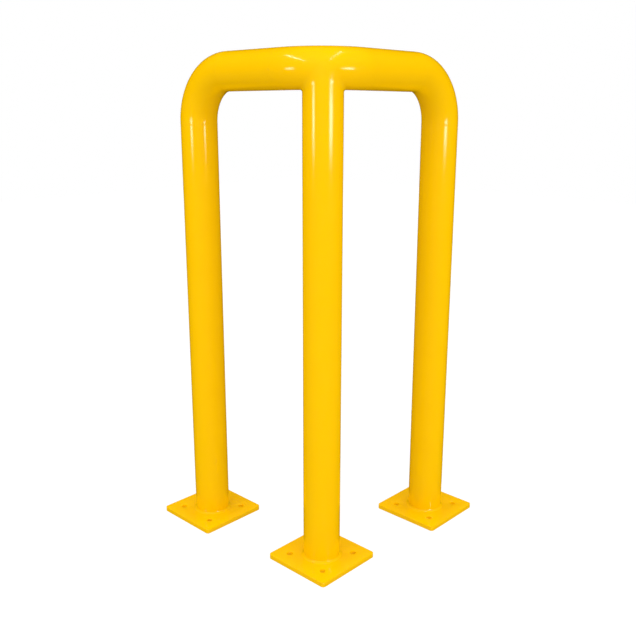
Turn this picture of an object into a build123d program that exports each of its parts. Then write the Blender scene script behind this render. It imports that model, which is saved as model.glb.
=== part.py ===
from build123d import *
from math import radians, sqrt, tan
import os

# A steel corner guard with three legs. Two short arms meet at a right angle, and their rail turns the corner on a
# bend that lies flat. A post stands under that bend, and each arm's far end bends down into a side leg. Every foot
# is welded to a square base plate. All lengths are in millimetres.
#
# Frame: +Z is up, and the origin is the centre of the corner plate's underside, on the corner post's axis.
# The right arm runs along +X and the left arm along +Y, so the guard is its own mirror image in the plane x = y.

# Tube and bends
tube_diameter = 88.9
wall_thickness = 4.0
bend_radius = 114.3  # to the tube's centreline: a long-radius 90 degree elbow
elbow_tangent = 5.0  # the straight stretch at each end of an elbow
overall_height = 1200.0
arm_reach = 415.0  # from the point where the arms' centrelines would cross to a side leg's axis

# Base plates
plate_side = 185.0
plate_thickness = 12.0
plate_corner_radius = 8.0
plate_edge_round = 1.0
bolt_hole_diameter = 14.0  # for M12 anchors
bolt_hole_spacing = 110.0
vent_hole_diameter = 12.0  # under the tube, lets air and water out of it

# Butt welds between tubes and elbows
root_gap = 2.0
bevel_angle = 37.5
cap_height = 0.2  # the welds are dressed almost flush
groove_overshoot = 1.0  # how far the groove's cutter passes the wall on both sides

# Fillet welds
base_weld_leg = 6.0
base_weld_bulge = 0.8
saddle_gap = 1.5  # between the coped post and the corner elbow
saddle_weld_leg = 5.0
saddle_weld_toe = 0.6  # where post and elbow lie flush, in front and behind

# Derived places
outer_radius = tube_diameter / 2
inner_radius = outer_radius - wall_thickness
rail_height = overall_height - outer_radius
bend_start_height = rail_height - bend_radius
bend_centre = bend_radius / sqrt(2)  # in x and in y: the corner elbow then passes over the origin
arm_line = bend_centre - bend_radius  # the right arm's y, and the left arm's x
side_leg_line = arm_line + arm_reach  # the right leg's x, and the left leg's y
arm_end = side_leg_line - bend_radius

mirror_plane = Plane(origin=(0, 0, 0), z_dir=(1, -1, 0))
feet = {
    "corner": Pos(0, 0, 0),
    "right": Pos(side_leg_line, arm_line, 0),
    "left": Pos(arm_line, side_leg_line, 0),
}

# Planes of the right side's butt welds, each square to the tubes that it joins
leg_joint = Plane(origin=(side_leg_line, arm_line, bend_start_height - elbow_tangent), z_dir=(0, 0, 1))
arm_outer_joint = Plane(origin=(arm_end - elbow_tangent, arm_line, rail_height), z_dir=(1, 0, 0))
arm_corner_joint = Plane(origin=(bend_centre + elbow_tangent, arm_line, rail_height), z_dir=(1, 0, 0))

# Where an elbow's bend starts: it sets off along the place's X direction and turns away from its Z direction
side_elbow_place = Plane(origin=(arm_end, arm_line, rail_height), x_dir=(1, 0, 0), z_dir=(0, 0, 1))
corner_elbow_place = Plane(origin=(arm_line, bend_centre, rail_height), x_dir=(0, -1, 0), z_dir=(-1, 0, 0))


def half_width(radius):
    """Half the width of a butt weld's V groove at a radius from the tube's axis."""
    return root_gap / 2 + (radius - inner_radius) * tan(radians(bevel_angle))


def groove_cutter():
    """The ring that bevels both tube ends at a butt weld, centred on the origin."""
    low = inner_radius - groove_overshoot
    high = outer_radius + groove_overshoot
    outline = Polyline(
        (low, 0, -root_gap / 2),
        (inner_radius, 0, -root_gap / 2),
        (high, 0, -half_width(high)),
        (high, 0, half_width(high)),
        (inner_radius, 0, root_gap / 2),
        (low, 0, root_gap / 2),
        close=True,
    )
    return revolve(make_face(outline), Axis.Z, 360)


def tube(length, bevelled_ends=()):
    """A straight tube that stands on the origin, bevelled for welding at the given heights."""
    pipe = extrude(Circle(outer_radius) - Circle(inner_radius), amount=length)
    for height in bevelled_ends:
        pipe -= Pos(0, 0, height) * groove_cutter()
    return pipe


def elbow():
    """A 90 degree elbow: its bend starts at the origin along +X and ends going down. Both ends are bevelled."""
    upper_end = (-elbow_tangent, 0, 0)
    lower_end = (bend_radius, 0, -bend_radius - elbow_tangent)
    centreline = FilletPolyline(upper_end, (bend_radius, 0, 0), lower_end, radius=bend_radius)
    upper_plane = Plane(origin=upper_end, z_dir=(1, 0, 0))
    lower_plane = Plane(origin=lower_end, z_dir=(0, 0, -1))
    pipe = sweep(upper_plane * (Circle(outer_radius) - Circle(inner_radius)), path=centreline)
    for end in (upper_plane, lower_plane):
        pipe -= end * groove_cutter()
    return pipe


def solid_corner_bend(radius):
    """The corner elbow's bend as a solid rod of the given radius."""
    axis = Axis((0, 0, -bend_radius), (0, 1, 0))
    return corner_elbow_place * revolve(Plane.YZ * Circle(radius), axis, 90)


def butt_weld():
    """The weld metal that fills a groove, with a low crown, centred on the origin."""
    cap = half_width(outer_radius)
    root = Polyline(
        (outer_radius, 0, -cap),
        (inner_radius, 0, -root_gap / 2),
        (inner_radius, 0, root_gap / 2),
        (outer_radius, 0, cap),
    )
    crown = ThreePointArc((outer_radius, 0, cap), (outer_radius + cap_height, 0, 0), (outer_radius, 0, -cap))
    return revolve(make_face([root, crown]), Axis.Z, 360)


def base_weld():
    """The convex fillet weld round a tube's foot, on top of its plate."""
    toe = (outer_radius + base_weld_leg, 0, plate_thickness)
    corner = (outer_radius, 0, plate_thickness)
    top = (outer_radius, 0, plate_thickness + base_weld_leg)
    bulge = base_weld_bulge / sqrt(2)
    middle = (outer_radius + base_weld_leg / 2 + bulge, 0, plate_thickness + base_weld_leg / 2 + bulge)
    outline = [Polyline(top, corner, toe), ThreePointArc(toe, middle, top)]
    return revolve(make_face(outline), Axis.Z, 360)


def base_plate():
    """A square plate with rounded corners, a bolt hole near each one and a vent hole in the middle."""
    profile = RectangleRounded(plate_side, plate_side, plate_corner_radius)
    plate = extrude(profile, amount=plate_thickness)
    plate = fillet(plate.faces().sort_by(Axis.Z)[-1].edges(), plate_edge_round)
    bolt_holes = GridLocations(bolt_hole_spacing, bolt_hole_spacing, 2, 2) * Circle(bolt_hole_diameter / 2)
    vent_hole = Circle(vent_hole_diameter / 2)
    for hole in [*bolt_holes, vent_hole]:
        plate -= extrude(hole, amount=plate_thickness)
    return plate


def corner_post():
    """The post under the corner elbow, coped to the elbow's underside with a gap for the weld's root."""
    post = Pos(0, 0, plate_thickness) * tube(rail_height - plate_thickness)
    return post - solid_corner_bend(outer_radius + saddle_gap)


def saddle_weld(post):
    """The weld between the coped post and the corner elbow: full at the sides, thin in front and behind."""
    low = rail_height - outer_radius - 2 * saddle_weld_leg
    across = outer_radius + saddle_weld_leg
    along = outer_radius + saddle_weld_toe
    band = extrude(Ellipse(along, across) - Circle(inner_radius), amount=rail_height - low)
    band = Pos(0, 0, low) * Rot(0, 0, 45) * band
    weld = band & solid_corner_bend(outer_radius + saddle_weld_leg)
    return weld - solid_corner_bend(outer_radius) - post


def right_side():
    """The right arm and leg with their welds, by names that still lack the side."""
    leg_length = leg_joint.origin.Z - plate_thickness
    arm_length = arm_outer_joint.origin.X - arm_corner_joint.origin.X
    return {
        "leg": feet["right"] * Pos(0, 0, plate_thickness) * tube(leg_length, [leg_length]),
        "elbow": side_elbow_place * elbow(),
        "arm": arm_corner_joint * tube(arm_length, [0, arm_length]),
        "leg_top_weld": leg_joint * butt_weld(),
        "arm_outer_weld": arm_outer_joint * butt_weld(),
        "arm_corner_weld": arm_corner_joint * butt_weld(),
    }


def all_nodes():
    """Every sub-part of the guard, by its name."""
    post = corner_post()
    nodes = {
        "corner_post": post,
        "corner_elbow": corner_elbow_place * elbow(),
        "post_saddle_weld": saddle_weld(post),
    }
    for name, shape in right_side().items():
        nodes["right_" + name] = shape
        nodes["left_" + name] = mirror(shape, about=mirror_plane)
    for name, foot in feet.items():
        nodes[name + "_base_plate"] = foot * base_plate()
        nodes[name + "_base_weld"] = foot * base_weld()
    return nodes


os.makedirs("parts", exist_ok=True)
for node, shape in all_nodes().items():
    export_step(shape.solid(), f"parts/{node}.step")
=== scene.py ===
"""Looks of the steel corner guard: gloss safety-yellow powder coat over tubes, elbows, plates and welds.

Metres, in the frame of the CAD model: +Z up, the origin under the corner post, the right arm along +X and the
left arm along +Y.
"""

import math

import bmesh
import bpy
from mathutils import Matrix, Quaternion, Vector


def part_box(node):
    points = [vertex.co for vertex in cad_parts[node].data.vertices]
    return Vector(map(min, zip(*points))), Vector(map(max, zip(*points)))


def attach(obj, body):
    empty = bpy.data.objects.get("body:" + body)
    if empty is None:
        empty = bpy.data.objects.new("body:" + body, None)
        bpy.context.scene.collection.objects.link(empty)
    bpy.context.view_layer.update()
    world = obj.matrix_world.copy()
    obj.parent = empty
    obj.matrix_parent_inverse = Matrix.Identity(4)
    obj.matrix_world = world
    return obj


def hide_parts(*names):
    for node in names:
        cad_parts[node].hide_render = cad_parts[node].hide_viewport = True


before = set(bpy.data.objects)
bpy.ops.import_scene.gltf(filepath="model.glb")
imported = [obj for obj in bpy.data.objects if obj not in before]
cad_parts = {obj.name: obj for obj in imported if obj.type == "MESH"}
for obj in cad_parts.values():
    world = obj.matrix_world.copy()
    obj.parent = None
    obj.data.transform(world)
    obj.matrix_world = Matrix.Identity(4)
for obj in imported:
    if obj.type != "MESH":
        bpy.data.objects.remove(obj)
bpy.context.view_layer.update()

# ---------------------------------------------------------------- sizes
TUBE_RADIUS = 0.04445
WALL = 0.004
BEND_RADIUS = 0.1143
ELBOW_TANGENT = 0.005
BORE_RADIUS = TUBE_RADIUS - WALL

PLATE_CORNER_RADIUS = 0.008
PLATE_EDGE_ROUND = 0.0008
HOLE_SPACING = 0.110
HOLE_RADIUS = 0.007
VENT_RADIUS = 0.006

ROOT_HALF_GAP = 0.001
BEVEL_ANGLE = math.radians(37.5)
BUTT_HALF_WIDTH = ROOT_HALF_GAP + WALL * math.tan(BEVEL_ANGLE)
BUTT_CROWN = 0.00012
WITNESS_DEPTH = 0.00028  # of the fine line along a butt weld's middle
WITNESS_WIDTH = 0.10  # as a share of the weld's half width
BASE_WELD_LEG = 0.0054
BASE_WELD_HOLLOW = 0.24  # how far its face falls back, as a share of the leg
BASE_WELD_INSET = 0.0005  # how far it reaches into its tube
POST_GAP = 0.0003  # between the post's top and the corner elbow
SADDLE_LEG_ON_POST = (0.005, 0.016)  # at the sides, and how much more in front and behind
SADDLE_LEG_ON_RAIL = (0.005, 0.006)
SADDLE_CROWN = 0.0003
SADDLE_ROUNDING = 0.42  # its curve's handles, as a share of the distance between its toes
SADDLE_INSET = 0.0008
SADDLE_SEED = 4
WELD_UNEVENNESS = 0.05  # of a fillet weld's legs, as a share

SEGMENTS = 128  # round every tube
ELBOW_STEPS = 48
HOLE_SEGMENTS = 40
CORNER_STEPS = 8  # round a plate's corner
EDGE_SEGMENTS = 4  # across a plate's rounded edge
RIM_ANGLE = math.radians(60)  # a plate's edges sharper than this are rounded

# ---------------------------------------------------------------- places, from the frame
UP = Vector((0, 0, 1))
ALONG_X = Vector((1, 0, 0))
ALONG_Y = Vector((0, 1, 0))


def centre_of(node):
    """The middle of a CAD node's box."""
    low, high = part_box(node)
    return (Vector(low) + Vector(high)) / 2


def foot_of(side):
    """The point on the floor under a leg's axis."""
    centre = centre_of(side + "_base_plate")
    return Vector((centre.x, centre.y, 0))


PLATE_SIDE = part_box("corner_base_plate")[1][0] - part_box("corner_base_plate")[0][0]
PLATE_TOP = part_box("corner_base_plate")[1][2]
RIGHT_FOOT = foot_of("right")
ARM_LINE = RIGHT_FOOT.y  # the right arm's y, and the left arm's x
BEND_CENTRE = ARM_LINE + BEND_RADIUS  # in x and y, of the corner elbow
ARM_END = RIGHT_FOOT.x - BEND_RADIUS  # where the side elbow's bend begins
LEG_JOINT_HEIGHT = centre_of("right_leg_top_weld").z
RAIL_HEIGHT = LEG_JOINT_HEIGHT + ELBOW_TANGENT + BEND_RADIUS


def mirrored(points):
    """Points of the right side carried to the left side, in the plane x = y."""
    return [Vector((p.y, p.x, p.z)) for p in points]


# ---------------------------------------------------------------- materials
COAT_YELLOW = (0.94, 0.535, 0.0, 1)
COAT_DEEP = (0.92, 0.505, 0.0, 1)
GLOSS_RANGE = 0.03  # of the roughness, up and down


def link(tree, source, output, target, socket):
    """Joins one node's output to another node's input, each given by name or number."""
    tree.links.new(source.outputs[output], target.inputs[socket])


def noise(tree, scale, detail, roughness=0.5):
    """A noise texture over the object's own coordinates, whose grains are about 1 / scale metres across."""
    texture = tree.nodes.new("ShaderNodeTexNoise")
    texture.inputs["Scale"].default_value = scale
    texture.inputs["Detail"].default_value = detail
    texture.inputs["Roughness"].default_value = roughness
    link(tree, tree.nodes["Coordinates"], "Object", texture, "Vector")
    return texture


def bump(tree, height, distance, strength, below=None):
    """A bump from a height texture, on top of an earlier one."""
    node = tree.nodes.new("ShaderNodeBump")
    node.inputs["Distance"].default_value = distance
    node.inputs["Strength"].default_value = strength
    link(tree, height, "Fac", node, "Height")
    if below:
        link(tree, below, "Normal", node, "Normal")
    return node


def powder_coat(name, peel, gloss):
    """Thick gloss powder coat: orange peel in its surface and slight changes of tone and gloss."""
    material = bpy.data.materials.new(name)
    material.use_nodes = True
    tree = material.node_tree
    shader = tree.nodes["Principled BSDF"]
    coordinates = tree.nodes.new("ShaderNodeTexCoord")
    coordinates.name = "Coordinates"

    tone = tree.nodes.new("ShaderNodeMix")
    tone.data_type = "RGBA"
    tone.inputs["A"].default_value = COAT_DEEP
    tone.inputs["B"].default_value = COAT_YELLOW
    link(tree, noise(tree, scale=14, detail=3), "Fac", tone, "Factor")
    link(tree, tone, "Result", shader, "Base Color")

    sheen_range = tree.nodes.new("ShaderNodeMapRange")
    sheen_range.inputs["To Min"].default_value = gloss - GLOSS_RANGE
    sheen_range.inputs["To Max"].default_value = gloss + GLOSS_RANGE
    link(tree, noise(tree, scale=60, detail=2), "Fac", sheen_range, "Value")
    link(tree, sheen_range, "Result", shader, "Roughness")

    wide_noise = noise(tree, scale=35, detail=1)
    waves = bump(tree, wide_noise, distance=0.0006, strength=0.04 * peel)
    fine_noise = noise(tree, scale=320, detail=2, roughness=0.4)
    orange_peel = bump(tree, fine_noise, distance=0.0002, strength=0.12 * peel, below=waves)
    link(tree, orange_peel, "Normal", shader, "Normal")

    shader.inputs["IOR"].default_value = 1.5
    return material


tube_coat = powder_coat("tube_coat", peel=1.0, gloss=0.11)
plate_coat = powder_coat("plate_coat", peel=1.3, gloss=0.16)
weld_coat = powder_coat("weld_coat", peel=2.0, gloss=0.13)


# ---------------------------------------------------------------- meshes
def finish_piece(name, mesh, material, sharp_angle=35):
    """A smooth-shaded object from a mesh, standing for the CAD node of the same name."""
    mesh.validate()
    mesh.update()
    mesh.shade_smooth()
    mesh.set_sharp_from_angle(angle=math.radians(sharp_angle))
    mesh.materials.append(material)
    piece = bpy.data.objects.new(name + "_coated", mesh)
    bpy.context.scene.collection.objects.link(piece)
    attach(piece, "root")
    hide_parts(name)
    return piece


def ring_mesh(name, rings):
    """A closed mesh through rings of equal count, where the last ring joins the first."""
    count = len(rings[0])
    vertices = [tuple(p) for ring in rings for p in ring]
    faces = []
    for i in range(len(rings)):
        a = i * count
        b = (i + 1) % len(rings) * count
        for k in range(count):
            n = (k + 1) % count
            faces.append((a + k, a + n, b + n, b + k))
    mesh = bpy.data.meshes.new(name)
    mesh.from_pydata(vertices, [], faces)
    outward(mesh)
    return mesh


def outward(mesh):
    """Turns a closed mesh's faces so that they all face out."""
    b = bmesh.new()
    b.from_mesh(mesh)
    bmesh.ops.recalc_face_normals(b, faces=b.faces)
    b.to_mesh(mesh)
    b.free()


def circle(centre, u, v, radius, count=SEGMENTS):
    """Points round a centre in the plane of u and v. radius may be a function of the angle."""
    points = []
    for k in range(count):
        angle = 2 * math.pi * k / count
        r = radius(angle) if callable(radius) else radius
        points.append(centre + (u * math.cos(angle) + v * math.sin(angle)) * r)
    return points


def straight_rings(start, end, u, v):
    """Rings of a hollow tube from start to end, whose bore reaches further at both ends."""
    along = (end - start).normalized()
    bevel = along * (BUTT_HALF_WIDTH - ROOT_HALF_GAP)
    return [
        circle(start, u, v, TUBE_RADIUS),
        circle(end, u, v, TUBE_RADIUS),
        circle(end + bevel, u, v, BORE_RADIUS),
        circle(start - bevel, u, v, BORE_RADIUS),
    ]


right_joint_outer = Vector((ARM_END - ELBOW_TANGENT, ARM_LINE, RAIL_HEIGHT))
right_joint_corner = Vector((BEND_CENTRE + ELBOW_TANGENT, ARM_LINE, RAIL_HEIGHT))
right_joint_leg = Vector((RIGHT_FOOT.x, ARM_LINE, LEG_JOINT_HEIGHT))


def elbow_rings(start, along, turn):
    """Rings of an elbow whose bend begins at start, heading along, and turns towards turn."""
    centre = start + turn * BEND_RADIUS
    side = along.cross(turn)
    trim = ELBOW_TANGENT - BUTT_HALF_WIDTH
    trim_bore = ELBOW_TANGENT - ROOT_HALF_GAP
    stations = [(start - along * trim, turn)]
    for i in range(ELBOW_STEPS + 1):
        angle = math.pi / 2 * i / ELBOW_STEPS
        inward = turn * math.cos(angle) - along * math.sin(angle)
        stations.append((centre - inward * BEND_RADIUS, inward))
    stations.append((centre + along * BEND_RADIUS + turn * trim, -along))
    outer = [circle(p, u, side, TUBE_RADIUS) for p, u in stations]
    stations[0] = (start - along * trim_bore, turn)
    stations[-1] = (centre + along * BEND_RADIUS + turn * trim_bore, -along)
    inner = [circle(p, u, side, BORE_RADIUS) for p, u in reversed(stations)]
    return outer + inner


def butt_weld_rings(centre, axis, u, v):
    """Rings of a dressed butt weld: almost flush, with a fine witness line along its middle."""
    steps = 24
    rings = []
    for i in range(steps + 1):
        t = 2 * i / steps - 1
        crown = BUTT_CROWN * (1 - t * t) ** 2
        line = WITNESS_DEPTH * math.exp(-((t / WITNESS_WIDTH) ** 2))
        radius = TUBE_RADIUS + crown - line
        rings.append(circle(centre + axis * (t * BUTT_HALF_WIDTH), u, v, radius))
    rings.append(circle(centre + axis * ROOT_HALF_GAP, u, v, BORE_RADIUS))
    rings.append(circle(centre - axis * ROOT_HALF_GAP, u, v, BORE_RADIUS))
    return rings


def both_sides(name, rings, material):
    """The right-hand piece and its mirror image on the left."""
    finish_piece("right_" + name, ring_mesh("right_" + name, rings), material)
    left = [mirrored(ring) for ring in rings]
    finish_piece("left_" + name, ring_mesh("left_" + name, left), material)


def wobble(angle, seed):
    """A smooth, repeatable unevenness round a weld, between about -1 and 1."""
    waves = ((3, 0.35), (5, 0.25), (11, 0.2), (23, 0.12), (41, 0.08))  # times round, and size
    phase_shift = 1.7
    return sum(size * math.sin(count * angle + seed * (count + phase_shift)) for count, size in waves)


def base_weld_rings(foot, seed):
    """Rings of the fillet weld round a tube's foot: a slightly hollow face between two uneven toes."""
    steps = 10
    count = 2 * SEGMENTS
    rings = []
    for i in range(steps + 1):
        s = i / steps
        hollow = BASE_WELD_HOLLOW * math.sin(math.pi * s)
        ring = []
        for k in range(count):
            angle = 2 * math.pi * k / count
            leg = BASE_WELD_LEG * (1 + WELD_UNEVENNESS * wobble(angle, seed))
            up = leg * s * (1 - hollow)
            radius = TUBE_RADIUS + leg * (1 - s) * (1 - hollow)
            x, y = radius * math.cos(angle), radius * math.sin(angle)
            ring.append(foot + Vector((x, y, PLATE_TOP + up)))
        rings.append(ring)
    rings.append(circle(foot + UP * PLATE_TOP, ALONG_X, ALONG_Y, TUBE_RADIUS - BASE_WELD_INSET, count))
    return rings


# The saddle's own axes: ACROSS runs along the rail over the post, INWARD points to the bend's centre
ACROSS = Vector((1, -1, 0)).normalized()
INWARD = Vector((1, 1, 0)).normalized()
CORNER_BEND_CENTRE = Vector((BEND_CENTRE, BEND_CENTRE, RAIL_HEIGHT))


def nearest_on_rail(point):
    """The nearest point on the corner elbow's centreline."""
    radial = Vector((point.x - CORNER_BEND_CENTRE.x, point.y - CORNER_BEND_CENTRE.y, 0)).normalized()
    return CORNER_BEND_CENTRE + radial * BEND_RADIUS


def under_rail(point, radius):
    """point, moved up or down to where it is that far below the corner elbow's centreline."""
    beside = (Vector((point.x, point.y, RAIL_HEIGHT)) - nearest_on_rail(point)).length
    return Vector((point.x, point.y, RAIL_HEIGHT - math.sqrt(max(radius**2 - beside**2, 0))))


def around_rail(point, lift, along):
    """point, moved over the corner elbow's surface: lift up round the tube, and along it against ACROSS."""
    centre = nearest_on_rail(point)
    spoke = (point - centre) / TUBE_RADIUS
    radial = (centre - CORNER_BEND_CENTRE).normalized()
    tangent = radial.cross(UP)
    upward = spoke.cross(tangent)
    if upward.z <= 0:
        upward = -upward
    turned = spoke * math.cos(lift / TUBE_RADIUS) + upward * math.sin(lift / TUBE_RADIUS)
    centre = nearest_on_rail(centre + tangent * along)
    radial_there = (centre - CORNER_BEND_CENTRE).normalized()
    out = radial_there * turned.dot(radial) + UP * turned.z
    return centre + out.normalized() * TUBE_RADIUS


def bezier(start, start_handle, end_handle, end, s):
    """The point at share s along a cubic curve."""
    return (
        start * (1 - s) ** 3
        + start_handle * 3 * s * (1 - s) ** 2
        + end_handle * 3 * s * s * (1 - s)
        + end * s**3
    )


def saddle_section(angle, steps):
    """Points across the saddle weld: its face, from the post's toe to the elbow's, and then its back."""
    out = ACROSS * math.cos(angle) + INWARD * math.sin(angle)
    crease = under_rail(out * TUBE_RADIUS, TUBE_RADIUS)
    uneven = 1 + WELD_UNEVENNESS * wobble(angle, SADDLE_SEED)
    front = math.sin(angle) ** 2
    on_post = (SADDLE_LEG_ON_POST[0] + SADDLE_LEG_ON_POST[1] * front) * uneven
    on_rail = (SADDLE_LEG_ON_RAIL[0] + SADDLE_LEG_ON_RAIL[1] * front) * uneven
    lift = on_rail * abs(math.sin(angle))
    sideways = -on_rail * math.cos(angle)
    low = crease - UP * on_post
    high = around_rail(crease, lift, sideways)
    further = 1.1  # just past the toe, to find the elbow's direction there
    beyond = around_rail(crease, further * lift, further * sideways)
    handle = (high - low).length * SADDLE_ROUNDING
    high_handle = high - (beyond - high).normalized() * handle
    points = []
    for i in range(steps + 1):
        s = i / steps
        point = bezier(low, low + UP * handle, high_handle, high, s)
        points.append(point + out * SADDLE_CROWN * math.sin(math.pi * s) ** 2)
    points.append(crease - out * SADDLE_INSET)
    return points


def saddle_rings():
    """Rings of the saddle weld: a hollow band between a toe on the post and a toe on the elbow."""
    count = 2 * SEGMENTS
    sections = [saddle_section(2 * math.pi * k / count, steps=12) for k in range(count)]
    return [list(ring) for ring in zip(*sections)]


def post_rings():
    """Rings of the corner post, whose top follows the corner elbow's underside."""
    base = UP * PLATE_TOP
    outer = circle(base, ACROSS, INWARD, TUBE_RADIUS)
    inner = circle(base, ACROSS, INWARD, BORE_RADIUS)
    outer_top = [under_rail(p, TUBE_RADIUS + POST_GAP) for p in outer]
    inner_top = [under_rail(p, TUBE_RADIUS + POST_GAP) for p in inner]
    return [outer, outer_top, inner_top, inner]


def plate_outline(foot):
    """Loops of the plate: its rounded square and its holes, each as points."""
    half = PLATE_SIDE / 2
    inset = half - PLATE_CORNER_RADIUS
    outline = []
    for quarter in range(4):
        turn = math.pi / 2 * quarter
        corner = Vector((inset * (1, -1, -1, 1)[quarter], inset * (1, 1, -1, -1)[quarter], 0))
        for i in range(CORNER_STEPS + 1):
            angle = turn + math.pi / 2 * i / CORNER_STEPS
            out = Vector((math.cos(angle), math.sin(angle), 0))
            outline.append(foot + corner + out * PLATE_CORNER_RADIUS)
    loops = [outline]
    for x in (-HOLE_SPACING / 2, HOLE_SPACING / 2):
        for y in (-HOLE_SPACING / 2, HOLE_SPACING / 2):
            loops.append(circle(foot + Vector((x, y, 0)), ALONG_X, ALONG_Y, HOLE_RADIUS, HOLE_SEGMENTS))
    loops.append(circle(foot, ALONG_X, ALONG_Y, VENT_RADIUS, HOLE_SEGMENTS))
    return loops


def plate_mesh(name, loops):
    """A plate from its loops, its thickness from the frame, with coated, rounded edges."""
    b = bmesh.new()
    edges = []
    for loop in loops:
        corners = [b.verts.new((p.x, p.y, 0)) for p in loop]
        edges += [b.edges.new((corners[i - 1], corners[i])) for i in range(len(corners))]
    bmesh.ops.triangle_fill(b, edges=edges, use_beauty=True)
    bmesh.ops.recalc_face_normals(b, faces=b.faces)
    bottom = list(b.faces)
    raised = bmesh.ops.extrude_face_region(b, geom=bottom, use_keep_orig=True)
    top_verts = [g for g in raised["geom"] if isinstance(g, bmesh.types.BMVert)]
    bmesh.ops.translate(b, verts=top_verts, vec=(0, 0, PLATE_TOP))
    bmesh.ops.recalc_face_normals(b, faces=b.faces)
    rims = [e for e in b.edges if len(e.link_faces) == 2 and e.calc_face_angle() > RIM_ANGLE]
    rims = [e for e in rims if abs(e.verts[0].co.z - e.verts[1].co.z) < PLATE_TOP / 2]
    bmesh.ops.bevel(
        b, geom=rims, offset=PLATE_EDGE_ROUND, segments=EDGE_SEGMENTS, profile=0.5, affect="EDGES"
    )
    mesh = bpy.data.meshes.new(name)
    b.to_mesh(mesh)
    b.free()
    return mesh


# ---------------------------------------------------------------- the object
leg_base = RIGHT_FOOT + UP * (PLATE_TOP + BUTT_HALF_WIDTH - ROOT_HALF_GAP)
leg_rings = straight_rings(leg_base, right_joint_leg - UP * BUTT_HALF_WIDTH, ALONG_X, ALONG_Y)
leg_rings[0] = circle(RIGHT_FOOT + UP * PLATE_TOP, ALONG_X, ALONG_Y, TUBE_RADIUS)
both_sides("leg", leg_rings, tube_coat)

arm_start = right_joint_corner + ALONG_X * BUTT_HALF_WIDTH
arm_stop = right_joint_outer - ALONG_X * BUTT_HALF_WIDTH
both_sides("arm", straight_rings(arm_start, arm_stop, ALONG_Y, UP), tube_coat)

side_bend_start = Vector((ARM_END, ARM_LINE, RAIL_HEIGHT))
both_sides("elbow", elbow_rings(side_bend_start, ALONG_X, -UP), tube_coat)

corner_bend_start = Vector((BEND_CENTRE, ARM_LINE, RAIL_HEIGHT))
corner_rings = elbow_rings(corner_bend_start, -ALONG_X, ALONG_Y)
finish_piece("corner_elbow", ring_mesh("corner_elbow", corner_rings), tube_coat)
finish_piece("corner_post", ring_mesh("corner_post", post_rings()), tube_coat)

both_sides("leg_top_weld", butt_weld_rings(right_joint_leg, UP, ALONG_X, ALONG_Y), weld_coat)
both_sides("arm_outer_weld", butt_weld_rings(right_joint_outer, ALONG_X, ALONG_Y, UP), weld_coat)
both_sides("arm_corner_weld", butt_weld_rings(right_joint_corner, ALONG_X, ALONG_Y, UP), weld_coat)
finish_piece("post_saddle_weld", ring_mesh("post_saddle_weld", saddle_rings()), weld_coat)

for seed, side in enumerate(("corner", "right", "left")):
    foot = foot_of(side)
    weld = ring_mesh(side + "_base_weld", base_weld_rings(foot, seed + 1))
    finish_piece(side + "_base_weld", weld, weld_coat)
    plate = plate_mesh(side + "_base_plate", plate_outline(foot))
    finish_piece(side + "_base_plate", plate, plate_coat)

# ---------------------------------------------------------------- camera
SENSOR_WIDTH = 36
LENS = 44.46
HEADING = math.radians(43.53)  # of the view, from +X towards +Y
PITCH = math.radians(14.83)  # below the horizon
AIM = Vector((-0.007, 0.007, 0.6127))
DISTANCE = 1.787
ROLL = math.radians(0.1)

view_forward = Vector((math.cos(HEADING), math.sin(HEADING), 0))
view_right = Vector((math.sin(HEADING), -math.cos(HEADING), 0))
look = view_forward * math.cos(PITCH) - UP * math.sin(PITCH)

camera_data = bpy.data.cameras.new("camera")
camera_data.lens = LENS
camera_data.sensor_width = SENSOR_WIDTH
camera = bpy.data.objects.new("camera", camera_data)
camera.location = AIM - look * DISTANCE
camera.rotation_euler = (look.to_track_quat("-Z", "Y") @ Quaternion((0, 0, 1), ROLL)).to_euler()
bpy.context.scene.collection.objects.link(camera)
bpy.context.scene.camera = camera


# ---------------------------------------------------------------- stage and light
SKY_DIFFUSE = 0.37  # strength all round, for the light that the coat scatters
SKY_ZENITH = 1.0  # more overhead
SKY_FRONT = 0.57  # more from the camera's side
FLOOR_DIFFUSE = 0.65  # the light from the floor on the object
FLOOR_SEEN = 0.95  # the floor's own light as the camera sees it
FLOOR_GREY = (0.1, 0.1, 0.1, 1)
FLOOR_ROUGHNESS = 0.9
FLOOR_HALF = 8.0
FLOOR_DROP = 0.0003  # below the plates' undersides
SOFT_RIM = 0.8  # the share of a softbox over which it fades to its rim
STRIP_HEIGHT = 2.6
SOFTBOXES = (
    # name, metres to the right of, beyond and above the corner as the camera sees it, width, length, power
    ("left_softbox", -1.42, -1.09, 1.04, 0.62, 0.44, 8),
    ("right_softbox", 1.26, -1.35, 1.04, 0.90, 0.44, 14),
)
FILLS = (("right_fill", 2.5, -1.5, 1.4, 1.5, 1.5, 7),)
STRIPS = (
    ("left_strip", -1.15, -1.1, STRIP_HEIGHT, 0.07, 2.1, 10),
    ("right_strip", 0.46, -0.75, STRIP_HEIGHT, 0.05, 1.9, 2.2),
)


def area_light(name, right, forward, height, width, length, power):
    """A rectangular area light at a place given from the camera's side of the object."""
    data = bpy.data.lights.new(name, "AREA")
    data.shape = "RECTANGLE"
    data.size = width
    data.size_y = length
    data.energy = power
    light = bpy.data.objects.new(name, data)
    light.location = view_right * right + view_forward * forward + UP * height
    bpy.context.scene.collection.objects.link(light)
    return light


def face_post(light):
    """Turns a light to face the corner post, without tilting it."""
    towards = Vector((-light.location.x, -light.location.y, 0))
    light.rotation_euler = towards.to_track_quat("-Z", "Y").to_euler()


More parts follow.
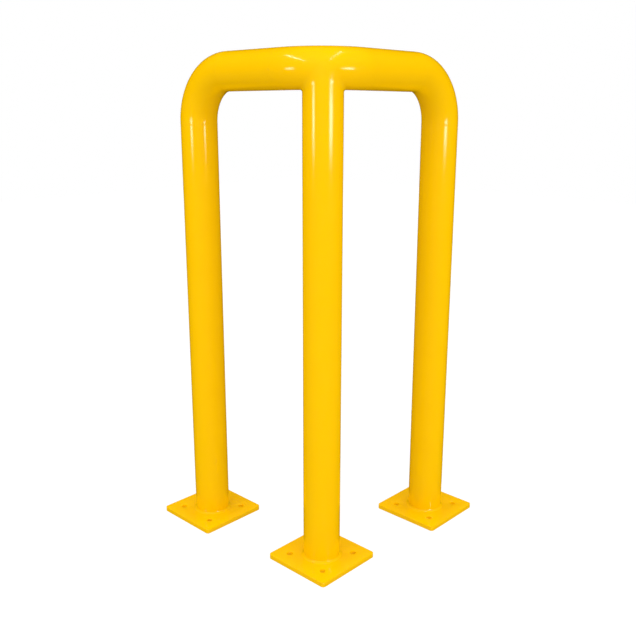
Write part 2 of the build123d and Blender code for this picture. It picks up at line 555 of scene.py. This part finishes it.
def soften_edges(light, soft):
    """Fades a softbox from its middle to its rim, over a share of its half width and half length."""
    light.data.use_nodes = True
    tree = light.data.node_tree
    emission = tree.nodes["Emission"]
    place = tree.nodes.new("ShaderNodeNewGeometry")
    split = tree.nodes.new("ShaderNodeSeparateXYZ")
    link(tree, place, "Parametric", split, "Vector")
    product = tree.nodes.new("ShaderNodeMath")
    product.operation = "MULTIPLY"
    for i, axis in enumerate("XY"):
        from_rim = tree.nodes.new("ShaderNodeMath")
        from_rim.operation = "PINGPONG"
        from_rim.inputs[1].default_value = 0.5
        link(tree, split, axis, from_rim, 0)
        fade = tree.nodes.new("ShaderNodeMapRange")
        fade.interpolation_type = "SMOOTHSTEP"
        fade.inputs["From Max"].default_value = soft / 2
        link(tree, from_rim, "Value", fade, "Value")
        link(tree, fade, "Result", product, i)
    link(tree, product, "Value", emission, "Strength")


for box in SOFTBOXES:
    light = area_light(*box)
    face_post(light)
    soften_edges(light, SOFT_RIM)
for fill in FILLS:
    light = area_light(*fill)
    face_post(light)
    light.visible_glossy = False
for strip in STRIPS:
    light = area_light(*strip)
    light.rotation_euler = (0, 0, HEADING - math.pi / 2)


def strength_by_ray(tree, seen, otherwise):
    """A strength that differs between what the camera sees and what lights the object."""
    path = tree.nodes.new("ShaderNodeLightPath")
    choice = tree.nodes.new("ShaderNodeMix")
    choice.inputs["A"].default_value = otherwise
    choice.inputs["B"].default_value = seen
    link(tree, path, "Is Camera Ray", choice, "Factor")
    return choice


def glow(tree, direction, towards, extra):
    """A node that adds light from one side to its last input: extra times the cosine of the angle to it."""
    cosine = tree.nodes.new("ShaderNodeVectorMath")
    cosine.operation = "DOT_PRODUCT"
    cosine.inputs[1].default_value = towards
    link(tree, direction, "Generated", cosine, 0)
    facing = tree.nodes.new("ShaderNodeMath")
    facing.operation = "MAXIMUM"
    facing.inputs[1].default_value = 0
    link(tree, cosine, "Value", facing, 0)
    total = tree.nodes.new("ShaderNodeMath")
    total.operation = "MULTIPLY_ADD"
    total.inputs[1].default_value = extra
    link(tree, facing, "Value", total, 0)
    return total


world = bpy.data.worlds.new("studio")
world.use_nodes = True
bpy.context.scene.world = world
background = world.node_tree.nodes["Background"]
background.inputs["Color"].default_value = (1, 1, 1, 1)
direction = world.node_tree.nodes.new("ShaderNodeTexCoord")
above = glow(world.node_tree, direction, UP, SKY_ZENITH)
above.inputs[2].default_value = SKY_DIFFUSE
in_front = glow(world.node_tree, direction, -view_forward, SKY_FRONT)
world_strength = strength_by_ray(world.node_tree, seen=1.0, otherwise=0.0)
link(world.node_tree, above, "Value", in_front, 2)
link(world.node_tree, in_front, "Value", world_strength, "A")
link(world.node_tree, world_strength, "Result", background, "Strength")
world.cycles_visibility.glossy = False


def studio_floor():
    """A wide pale floor under the plates."""
    mesh = bpy.data.meshes.new("studio_floor")
    sides = ((-1, -1), (1, -1), (1, 1), (-1, 1))
    corners = [(x * FLOOR_HALF, y * FLOOR_HALF, -FLOOR_DROP) for x, y in sides]
    mesh.from_pydata(corners, [], [(0, 1, 2, 3)])
    material = bpy.data.materials.new("studio_floor")
    material.use_nodes = True
    tree = material.node_tree
    shader = tree.nodes["Principled BSDF"]
    shader.inputs["Base Color"].default_value = FLOOR_GREY
    shader.inputs["Roughness"].default_value = FLOOR_ROUGHNESS
    shader.inputs["Specular IOR Level"].default_value = 0.0
    shader.inputs["Emission Color"].default_value = (1, 1, 1, 1)
    strength = strength_by_ray(tree, seen=FLOOR_SEEN, otherwise=FLOOR_DIFFUSE)
    link(tree, strength, "Result", shader, "Emission Strength")
    mesh.materials.append(material)
    floor = bpy.data.objects.new("studio_floor", mesh)
    floor.visible_glossy = False
    bpy.context.scene.collection.objects.link(floor)


studio_floor()
bpy.context.scene.view_settings.view_transform = "Standard"
